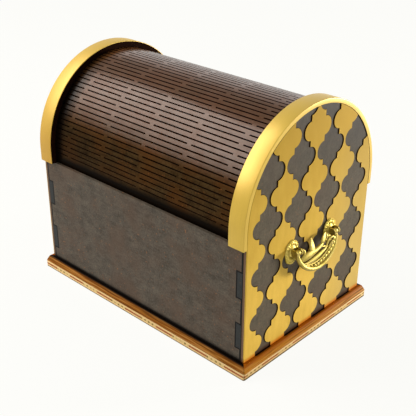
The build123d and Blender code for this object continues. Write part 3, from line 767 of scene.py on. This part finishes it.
# bail: a rim strand round half an ellipse, a crescent that ends in a point, a middle strand that curls up
# to the far end, an inner strand above a carved web, two leaves and rows of leaf scales
# each knot of a strand is across, up and out in the bail's plane, then half its height and half its thickness
bailPlan = {
    "lean": 12.0, "pivotY": 20.5, "halfWidth": 22.7, "depth": 19.2, "rim": 1.5, "rimStart": 0.16,
    "back": -0.85, "webSteps": 17, "ribPitch": 3.0,
    "crescent": [(-18.4, -6.4, 0.1, 1.0, 0.9), (-16.6, -6.4, 0.4, 2.0, 1.2), (-13.8, -5.9, 0.6, 2.6, 1.45),
                 (-10.6, -5.5, 0.7, 2.8, 1.55), (-7.6, -5.2, 0.7, 2.7, 1.5), (-4.4, -5.2, 0.7, 2.0, 1.45),
                 (-1.2, -4.8, 0.6, 1.6, 1.4), (1.6, -4.2, 0.5, 1.5, 1.3), (3.8, -3.6, 0.4, 1.4, 1.2),
                 (5.6, -3.0, 0.3, 0.7, 0.8)],
    "middle": [(-18.6, -8.6, 0.0, 0.6, 0.8), (-16, -10.0, 0.2, 0.7, 0.9), (-12.8, -10.5, 0.4, 1.2, 1.0),
               (-9, -10.4, 0.6, 1.7, 1.1), (-4.4, -10.1, 0.7, 1.9, 1.2), (0.3, -9.3, 0.7, 1.8, 1.2),
               (4.3, -8.2, 0.6, 1.4, 1.1), (7.6, -7.7, 0.4, 0.9, 1.0), (9.4, -6.4, 0.2, 0.8, 0.9),
               (10.8, -4.5, 0.1, 0.8, 0.9), (12.6, -2.9, 0.1, 0.8, 0.9), (15.2, -2.1, 0.0, 0.9, 0.95),
               (17.8, -3.0, 0.0, 1.0, 1.0), (19.7, -4.8, 0.0, 1.1, 1.1)],
    "inner": [(-18.9, -8.6, 0.0, 0.5, 0.7), (-14.2, -11.6, 0.1, 0.6, 0.8), (-7.6, -13.0, 0.2, 0.6, 0.85),
              (-0.5, -12.8, 0.2, 0.65, 0.85), (3.8, -12.2, 0.2, 0.65, 0.85), (9.1, -10.0, 0.2, 0.65, 0.85),
              (12.8, -7.4, 0.1, 0.7, 0.85), (15.6, -5.4, 0.1, 0.7, 0.85), (18.9, -5.6, 0.0, 0.7, 0.85)],
    "tie": [(4.0, -4.8, 0.1, 0.7, 0.8), (6.4, -5.8, 0.1, 0.7, 0.8), (8.9, -6.7, 0.1, 0.7, 0.8)],
    "horn": [(-18.2, -5.6, 0.2, 0.9, 0.9), (-16.4, -4.4, 0.9, 0.9, 0.9), (-14.9, -2.4, 1.2, 1.0, 0.95),
             (-15.0, -0.6, 0.9, 0.95, 0.9), (-16.2, 0.6, 0.4, 0.8, 0.8)],
    "neck": [(20.5, -1.3, 0.0, 1.35, 1.3), (20.7, -2.6, 0.0, 1.4, 1.35), (21.0, -4.2, 0.0, 1.4, 1.4)],
    "leaf": [(-6.8, -3.4, 1.2, 2.4, 0.75), (-6.2, -1.2, 0.9, 2.7, 0.75), (-5.2, 0.6, 0.1, 2.3, 0.7),
             (-4.3, 2.4, -0.8, 1.5, 0.55), (-3.6, 3.6, -1.4, 0.5, 0.35)],
    "farLeaf": [(4.4, -3.6, 0.4, 1.2, 0.8), (5.6, -1.8, 0.6, 1.9, 0.85), (7.2, -0.1, 0.4, 2.1, 0.8),
                (9.0, 1.4, 0.0, 1.7, 0.65), (10.6, 2.4, -0.4, 0.5, 0.4)],
    # how deep the painted shade on each strand's lower flank is; these names are also the strands drawn
    "patinaShade": {"crescent": 0.9, "middle": 0.4, "inner": 0.4, "tie": 0.8, "horn": 0.4, "leaf": 0.4,
                "farLeaf": 0.9},
    "eye": [(0.87, -1.45), (1.85, -1.45), (2.05, -1.2), (2.05, 1.2), (1.85, 1.45), (0.87, 1.45)],
    # the webs are darkened as patina in their hollows and painted shade under the strands
    "lowWeb": {"lift": 0.1, "ribHeight": 0.4, "patinaShade": 0.75},
    "highWeb": {"lift": -0.35, "ribHeight": 0.0, "patinaShade": 0.8}}
# leaf scales: across, up, turn in degrees, half length and half width
leafScales = np.array([
    (17.9, -4.6, 78, 1.7, 1.1), (16.9, -7.2, 65, 1.9, 1.2), (15.0, -9.3, 50, 2.0, 1.3),
    (12.6, -10.8, 38, 2.0, 1.3), (9.8, -12.0, 28, 2.0, 1.3), (6.8, -13.0, 20, 1.9, 1.2),
    (3.8, -13.7, 12, 1.8, 1.1), (0.8, -14.2, 5, 1.7, 1.0), (-2.2, -14.6, 0, 1.6, 0.9),
    (-5.2, -14.6, -8, 1.5, 0.8), (14.4, -7.2, 50, 1.7, 0.9), (11.2, -8.8, 40, 1.7, 0.9),
    (14.9, -2.6, 10, 1.6, 0.9)])
scaleRise, scaleHeight = 0.45, 0.85  # how far out a leaf scale's middle is, and half its thickness


# from across, up and out in the bail's own plane to the frame
def inBail(plan, spots):
    tilt = radians(plan["lean"])
    across, up, out = np.moveaxis(spots, -1, 0)
    x = pivotX - up * sin(tilt) + out * cos(tilt)
    z = pivotZ + up * cos(tilt) + out * sin(tilt)
    return np.stack([x, across, z], axis=-1)


# knots joined by straight steps, then eased by averaging each point with its neighbours
def smoothLine(knots, count=49):
    knots = np.asarray(knots, float)
    where = np.linspace(0, len(knots) - 1, count)
    line = np.stack([np.interp(where, np.arange(len(knots)), column) for column in knots.T], axis=-1)
    for _ in range(2 * count // len(knots)):
        line[1:-1] = (line[:-2] + 2 * line[1:-1] + line[2:]) / 4
    return line


# oval strand along a line, with painted shade on its lower flank
def strand(plan, line, patinaShade=0.4, count=18):
    spots = line[:, :3]
    along = np.gradient(spots, axis=0)
    along /= np.linalg.norm(along, axis=1)[:, None]
    upward = np.stack([-along[:, 1], along[:, 0], np.zeros(len(along))], axis=-1)
    upward /= np.linalg.norm(upward, axis=1)[:, None]
    outward = np.cross(along, upward)
    shell = ovalTube(spots, upward, outward, line[:, 3], line[:, 4], count)
    flank = patinaShade * np.clip(-np.cos(circle(count)) - 0.45, 0, 1)
    return dict(shell, points=inBail(plan, shell["points"]), recess=np.tile(flank, len(line)))


# half an ellipse below the pivots, short of both ends
def rimLine(plan, count=90):
    turn = np.linspace(plan["rimStart"], pi - plan["rimStart"], count)
    across = -(plan["halfWidth"] - plan["rim"]) * np.cos(turn)
    up = -(plan["depth"] - plan["rim"]) * np.sin(turn)
    size = np.full(count, plan["rim"])
    return np.stack([across, up, np.zeros(count), size, size * 0.95], axis=-1)


# every strand, the rim, a neck and an eye at each pivot, two webs and the leaf scales
def bailShells(plan):
    lines = {name: smoothLine(plan[name]) for name in plan["patinaShade"]}
    shells = [strand(plan, line, plan["patinaShade"][name]) for name, line in lines.items()]
    shells.append(strand(plan, rimLine(plan)))
    for sign in (-1.0, 1.0):
        shells.append(strand(plan, smoothLine(plan["neck"] * np.array([sign, 1.0, 1.0, 1.0, 1.0]), 15)))
        shells.append(turnedAlongY((pivotX, sign * plan["pivotY"], pivotZ), np.array(plan["eye"])))
    rim = rimLine(plan, 121)[8:-8]
    shells.append(carvedWeb(plan, smoothLine(plan["inner"], len(rim)), rim, **plan["lowWeb"]))
    crescent, middle = lines["crescent"][:-4], lines["middle"]  # the web stops before the crescent's tip
    below = np.interp(crescent[:, 0], middle[:, 0], middle[:, 1])
    shells.append(carvedWeb(plan, crescent, np.stack([crescent[:, 0], below], axis=-1), **plan["highWeb"]))
    return shells + [leafScale(plan, *scale) for scale in leafScales]


# thin web between two lines: straight steps from one to the other, with ribs that lean along it, darker
# between its ribs and at its back as patina and painted shade
def carvedWeb(plan, upper, lower, lift, ribHeight, patinaShade):
    share = np.linspace(0, 1, plan["webSteps"])[None, :]
    across = upper[:, :1] + (lower[:, :1] - upper[:, :1]) * share
    up = upper[:, 1:2] + (lower[:, 1:2] - upper[:, 1:2]) * share
    ribs = 0.5 + 0.5 * np.cos(2 * pi * (across + 0.5 * up) / plan["ribPitch"])
    front = np.stack([across, up, lift + ribHeight * ribs * np.sin(pi * share)], axis=-1)
    back = np.stack([across, up, np.full_like(up, plan["back"])], axis=-1)
    outline = np.concatenate([front, back[:, ::-1]], axis=1)
    recess = np.concatenate([patinaShade * (1.0 - 0.5 * ribs), np.ones_like(up)], axis=1)
    return tubeShell(inBail(plan, outline), recess=recess.ravel())


# a ball flattened on to the bail's plane and turned in it
def leafScale(plan, across, up, turn, length, width):
    along = np.array([cos(radians(turn)), sin(radians(turn)), 0.0])
    aside = np.array([-along[1], along[0], 0.0])
    axes = np.array([along * length, aside * width, (0.0, 0.0, scaleHeight)])
    ball = stretchedBall((across, up, scaleRise), axes)
    return dict(ball, points=inBail(plan, ball["points"]))


# rosette: an oval plate with broad petals, a beaded rim and a domed boss, as heights over a round grid
# shares are parts of the way from the middle to the edge
rosettePlan = {"halfWidth": 6.8, "halfHeight": 7.8, "foot": 100.02, "drop": 2.6, "petals": 8,
               "petalCut": 0.07, "petalFrom": 0.46, "petalSpan": 0.42, "petalRise": 0.5, "veinRise": 0.15,
               "plate": 0.85, "boss": 2.4, "bossShare": 0.56, "hole": 0.24, "beads": 26, "beadShare": 0.91,
               "beadHalf": 0.07, "beadRise": 0.5, "rings": 26, "columns": 208}


# the plate thins at its edge, the boss is a dome to a power, and the lower half sags into a longer oval
def rosetteShell(plan, centreY):
    turns = circle(plan["columns"])[None, :]
    share = np.concatenate([np.linspace(plan["hole"], 0.98, plan["rings"]), [1.0]])[:, None]
    petal = np.abs(np.cos(plan["petals"] / 2 * turns))
    reach = share * (1 - plan["petalCut"] * (1 - petal ** 0.6) * share ** 3)
    dome = np.clip(1 - (share / plan["bossShare"]) ** 2, 0, 1) ** 0.6
    vein = 0.5 + 0.5 * np.cos(3 * plan["petals"] * turns)
    inPetal = np.sin(pi * np.clip((share - plan["petalFrom"]) / plan["petalSpan"], 0, 1))
    plate = plan["plate"] + (plan["petalRise"] * petal ** 0.5 + plan["veinRise"] * vein) * inPetal
    plate = plate * np.clip((1.0 - share) / 0.05, 0.25, 1)
    onRim = np.clip(1 - ((share - plan["beadShare"]) / plan["beadHalf"]) ** 2, 0, 1) ** 0.5
    beads = plan["beadRise"] * onRim * (0.5 + 0.5 * np.cos(plan["beads"] * turns)) ** 0.5
    height = np.maximum(plate + beads, plan["boss"] * dome)
    sag = plan["drop"] * share ** 2 * (1 - np.sin(turns)) / 2
    front = np.stack([plan["foot"] + height, centreY + plan["halfWidth"] * reach * np.cos(turns),
                      pivotZ + plan["halfHeight"] * reach * np.sin(turns) - sag], axis=-1)
    rows, columns = height.shape
    back = front[[-1, 0]] * (0, 1, 1) + (plan["foot"], 0, 0)
    recess = np.concatenate([0.4 * np.clip(1.0 - (height - 0.8) / 0.45, 0, 1), np.ones((2, columns))])
    quads = gridQuads(rows + 2, columns, True)
    return {"points": np.concatenate([front, back]), "quads": quads, "recess": recess.ravel()}


# the two handles are alike, so the left one is the right one turned half round
for side, sign in sides.items():
    halfTurn = (sign, sign, 1.0)
    handle = [flipped(shell, halfTurn) for shell in bailShells(bailPlan)]
    addPiece(side + "castBail", handle, side + "handle", [brass], [side + "bail"], 50.0)
    places = (-bailPlan["pivotY"], bailPlan["pivotY"])
    plates = [flipped(rosetteShell(rosettePlan, place), halfTurn) for place in places]
    addPiece(side + "rosettePlates", plates, "box", [plateBrass], [side + "rosettes"], 60.0)
print("handles")

# camera at the photograph's angle
cameraPlace = {"azimuth": 43.13, "elevation": 27.13, "distance": 0.615, "roll": 0.31,
               "target": (-0.0076, 0.0156, 0.0545), "lens": 69.4, "sensor": 36.0}


# stands back from the target along azimuth and elevation, then rolls about its own line of sight
def placeCamera(place):
    turn = radians(place["azimuth"])
    lift = radians(place["elevation"])
    back = Vector((sin(turn) * cos(lift), -cos(turn) * cos(lift), sin(lift)))
    right = Vector((cos(turn), sin(turn), 0.0))
    up = back.cross(right)
    tilt = radians(place["roll"])
    rolledRight = right * cos(tilt) + up * sin(tilt)
    rolledUp = up * cos(tilt) - right * sin(tilt)
    data = bpy.data.cameras.new("camera")
    data.lens = place["lens"]
    data.sensor_width = place["sensor"]
    camera = bpy.data.objects.new("camera", data)
    bpy.context.scene.collection.objects.link(camera)
    turned = Matrix((rolledRight, rolledUp, back)).transposed().to_4x4()
    camera.matrix_world = Matrix.Translation(Vector(place["target"]) + back * place["distance"]) @ turned
    bpy.context.scene.camera = camera


placeCamera(cameraPlace)

# soft studio: a white room, a tall softbox at the front left and a smaller lamp level with the box
# at the back right
lamps = [
    {"name": "key", "place": (-0.7, -0.49, 0.82), "aim": (0.0, 0.0, 0.05), "long": (0.0, 0.82, 0.57),
     "size": (0.5, 1.15), "power": 10.8, "colour": (1.0, 0.93, 0.86)},
    {"name": "side", "place": (0.62, 1.0, 0.09), "aim": (0.0, 0.0, 0.06), "long": (0.0, 0.0, 1.0),
     "size": (0.24, 0.12), "power": 15.5, "colour": (1.0, 0.95, 0.9)}]
# the room's light on the object, how much of the object's shadow the floor keeps, and half the floor's width
studio = {"light": 0.36, "shade": 0.07, "reach": 3.0, "wall": (1.0, 1.0, 0.985, 1.0),
          "floor": (0.9, 0.9, 0.885, 1.0), "floorGlow": (1.0, 1.0, 0.97, 1.0), "floorRough": 0.9}


# the lamp's long side lies along the given direction, and it shines towards its aim
def addLamp(lamp):
    data = bpy.data.lights.new(lamp["name"], "AREA")
    data.shape = "RECTANGLE"
    data.energy = lamp["power"]
    data.color = lamp["colour"]
    data.size, data.size_y = lamp["size"]
    back = (Vector(lamp["place"]) - Vector(lamp["aim"])).normalized()
    long = Vector(lamp["long"])
    long = (long - back * long.dot(back)).normalized()
    turned = Matrix((long.cross(back), long, back)).transposed().to_4x4()
    lampObject = bpy.data.objects.new(lamp["name"], data)
    bpy.context.scene.collection.objects.link(lampObject)
    lampObject.matrix_world = Matrix.Translation(lamp["place"]) @ turned


# 1 for rays that show the background itself, in the picture or in a reflection
def seenRays(tree):
    path = addNode(tree, "ShaderNodeLightPath").socket.node
    names = ("Is Camera Ray", "Is Glossy Ray", "Is Transmission Ray")
    seen = [Wire(tree, path.outputs[name]) for name in names]
    return seen[0].most(seen[1]).most(seen[2])


# white where it is seen, and dimmer as a light
def whiteRoom(plan):
    world = bpy.data.worlds.new("room")
    world.use_nodes = True
    tree = world.node_tree
    background = tree.nodes["Background"]
    background.inputs["Color"].default_value = plan["wall"]
    strength = seenRays(tree) * (1.0 - plan["light"]) + plan["light"]
    tree.links.new(strength.socket, background.inputs["Strength"])
    bpy.context.scene.world = world


# where it is seen, the floor is mostly white, with a share of its lit surface to keep the shadow
def paleFloor(plan):
    mesh = bpy.data.meshes.new("floor")
    signs = np.array([(-1, -1, 0), (1, -1, 0), (1, 1, 0), (-1, 1, 0)])
    mesh.from_pydata((signs * plan["reach"]).tolist(), [], [(0, 1, 2, 3)])
    floor = bpy.data.objects.new("floor", mesh)
    bpy.context.scene.collection.objects.link(floor)
    finish = Finish("paleFloor")
    finish.wire(Base_Color=plan["floor"], Roughness=plan["floorRough"])
    glow = finish.add("ShaderNodeEmission", {}, {"Color": plan["floorGlow"], "Strength": 1.0})
    lit = Wire(finish.tree, finish.shader.outputs[0])
    seen = seenRays(finish.tree) * (1.0 - plan["shade"])
    both = finish.add("ShaderNodeMixShader", {}, {0: seen, 1: lit, 2: glow})
    output = finish.tree.nodes["Material Output"]
    finish.tree.links.new(both.socket, output.inputs["Surface"])
    mesh.materials.append(finish.material)


for lamp in lamps:
    addLamp(lamp)
whiteRoom(studio)
paleFloor(studio)
bpy.context.scene.view_settings.view_transform = "Standard"
print("camera, lamps, room and floor")
